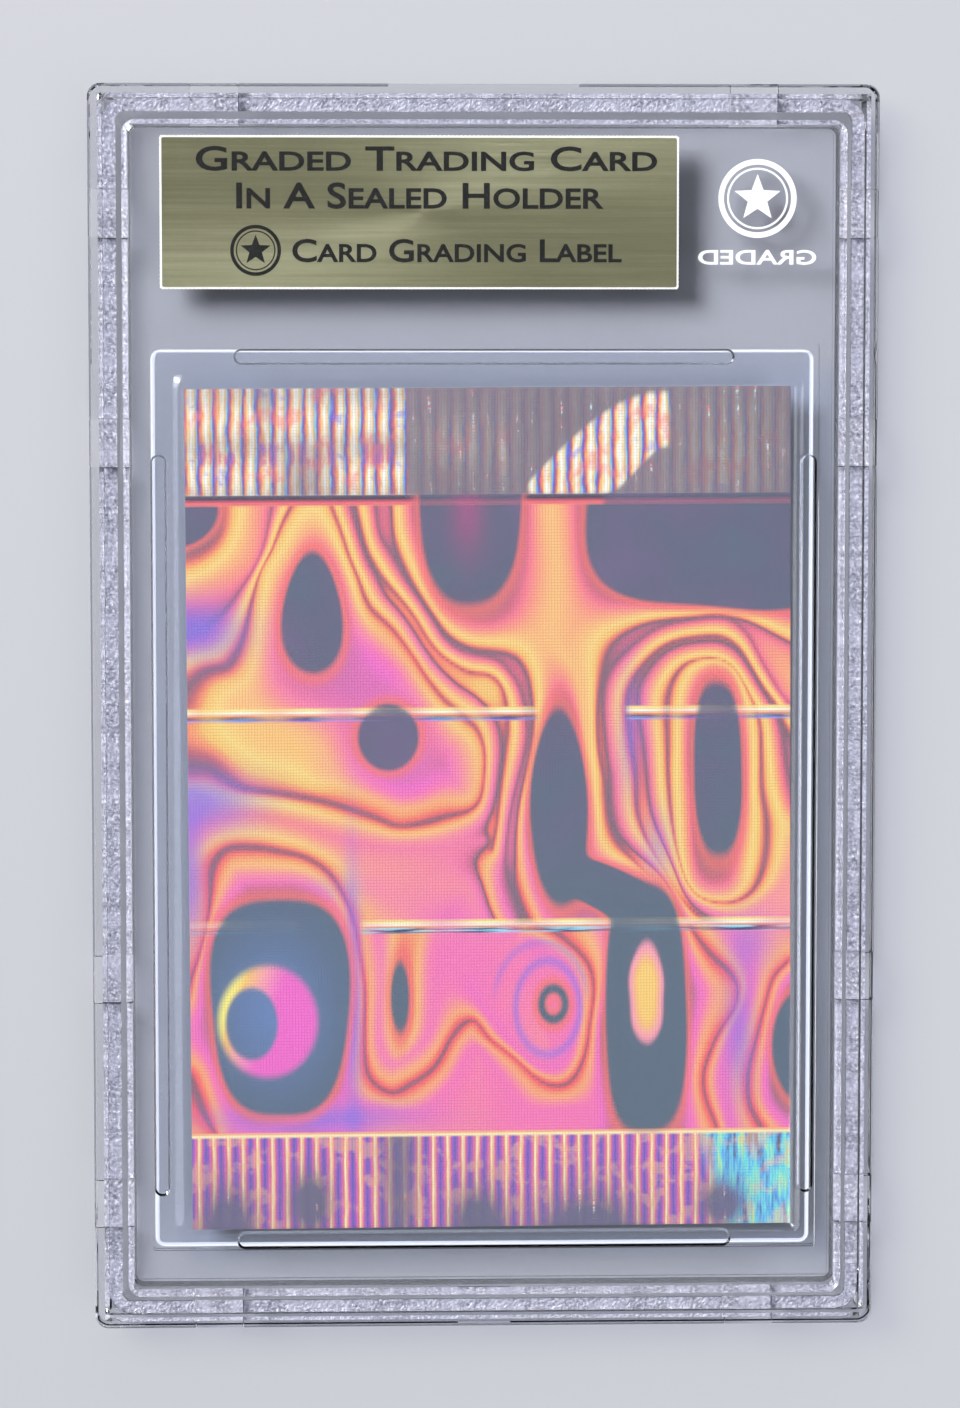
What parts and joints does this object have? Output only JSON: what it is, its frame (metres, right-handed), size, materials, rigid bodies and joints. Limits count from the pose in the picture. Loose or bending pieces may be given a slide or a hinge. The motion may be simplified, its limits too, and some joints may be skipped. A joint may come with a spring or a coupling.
{
  "type": "graded card slab",
  "caption": "Flat sealed display case of two clear moulded shells, welded round a sleeved trading card with a foil back and a printed foil label.",
  "frame": {"origin": "centre of the underside, where the slab rests on its front shell's rim", "axes": "+Z out of the back shell, +Y towards the label end, +X to the right when the back shell faces the viewer"},
  "size_m": [0.0826, 0.131, 0.0076],
  "materials": {
    "clear_shell": "polished clear polystyrene",
    "weld_frost": "granular, frosted by the weld",
    "sleeve_film": "soft clear film with a faint blue haze",
    "sleeve_seal": "pressed clear film",
    "card_paper": "white card stock, cut edge",
    "holographic_foil": "embossed rainbow foil with a fine cross-hatch",
    "card_print": "glossy printed sheet",
    "label_paper": "white label paper with a perforated edge",
    "gold_foil": "brushed lengthways, pale gold",
    "black_ink": "flat black ink",
    "white_ink": "flat white ink"
  },
  "bodies": {
    "root": {"front_shell": "clear_shell", "back_shell": "clear_shell", "weld_seam": "weld_frost", "sleeve_front_film": "sleeve_film", "sleeve_back_film": "sleeve_film", "sleeve_seal": "sleeve_seal", "card_core": "card_paper", "card_back_foil": "holographic_foil", "card_front_sheet": "card_print", "label_core": "label_paper", "label_back_foil": "gold_foil", "label_front_foil": "gold_foil", "label_back_print": "black_ink", "label_front_print": "black_ink", "shell_mark": "white_ink"}
  },
  "joints": []
}
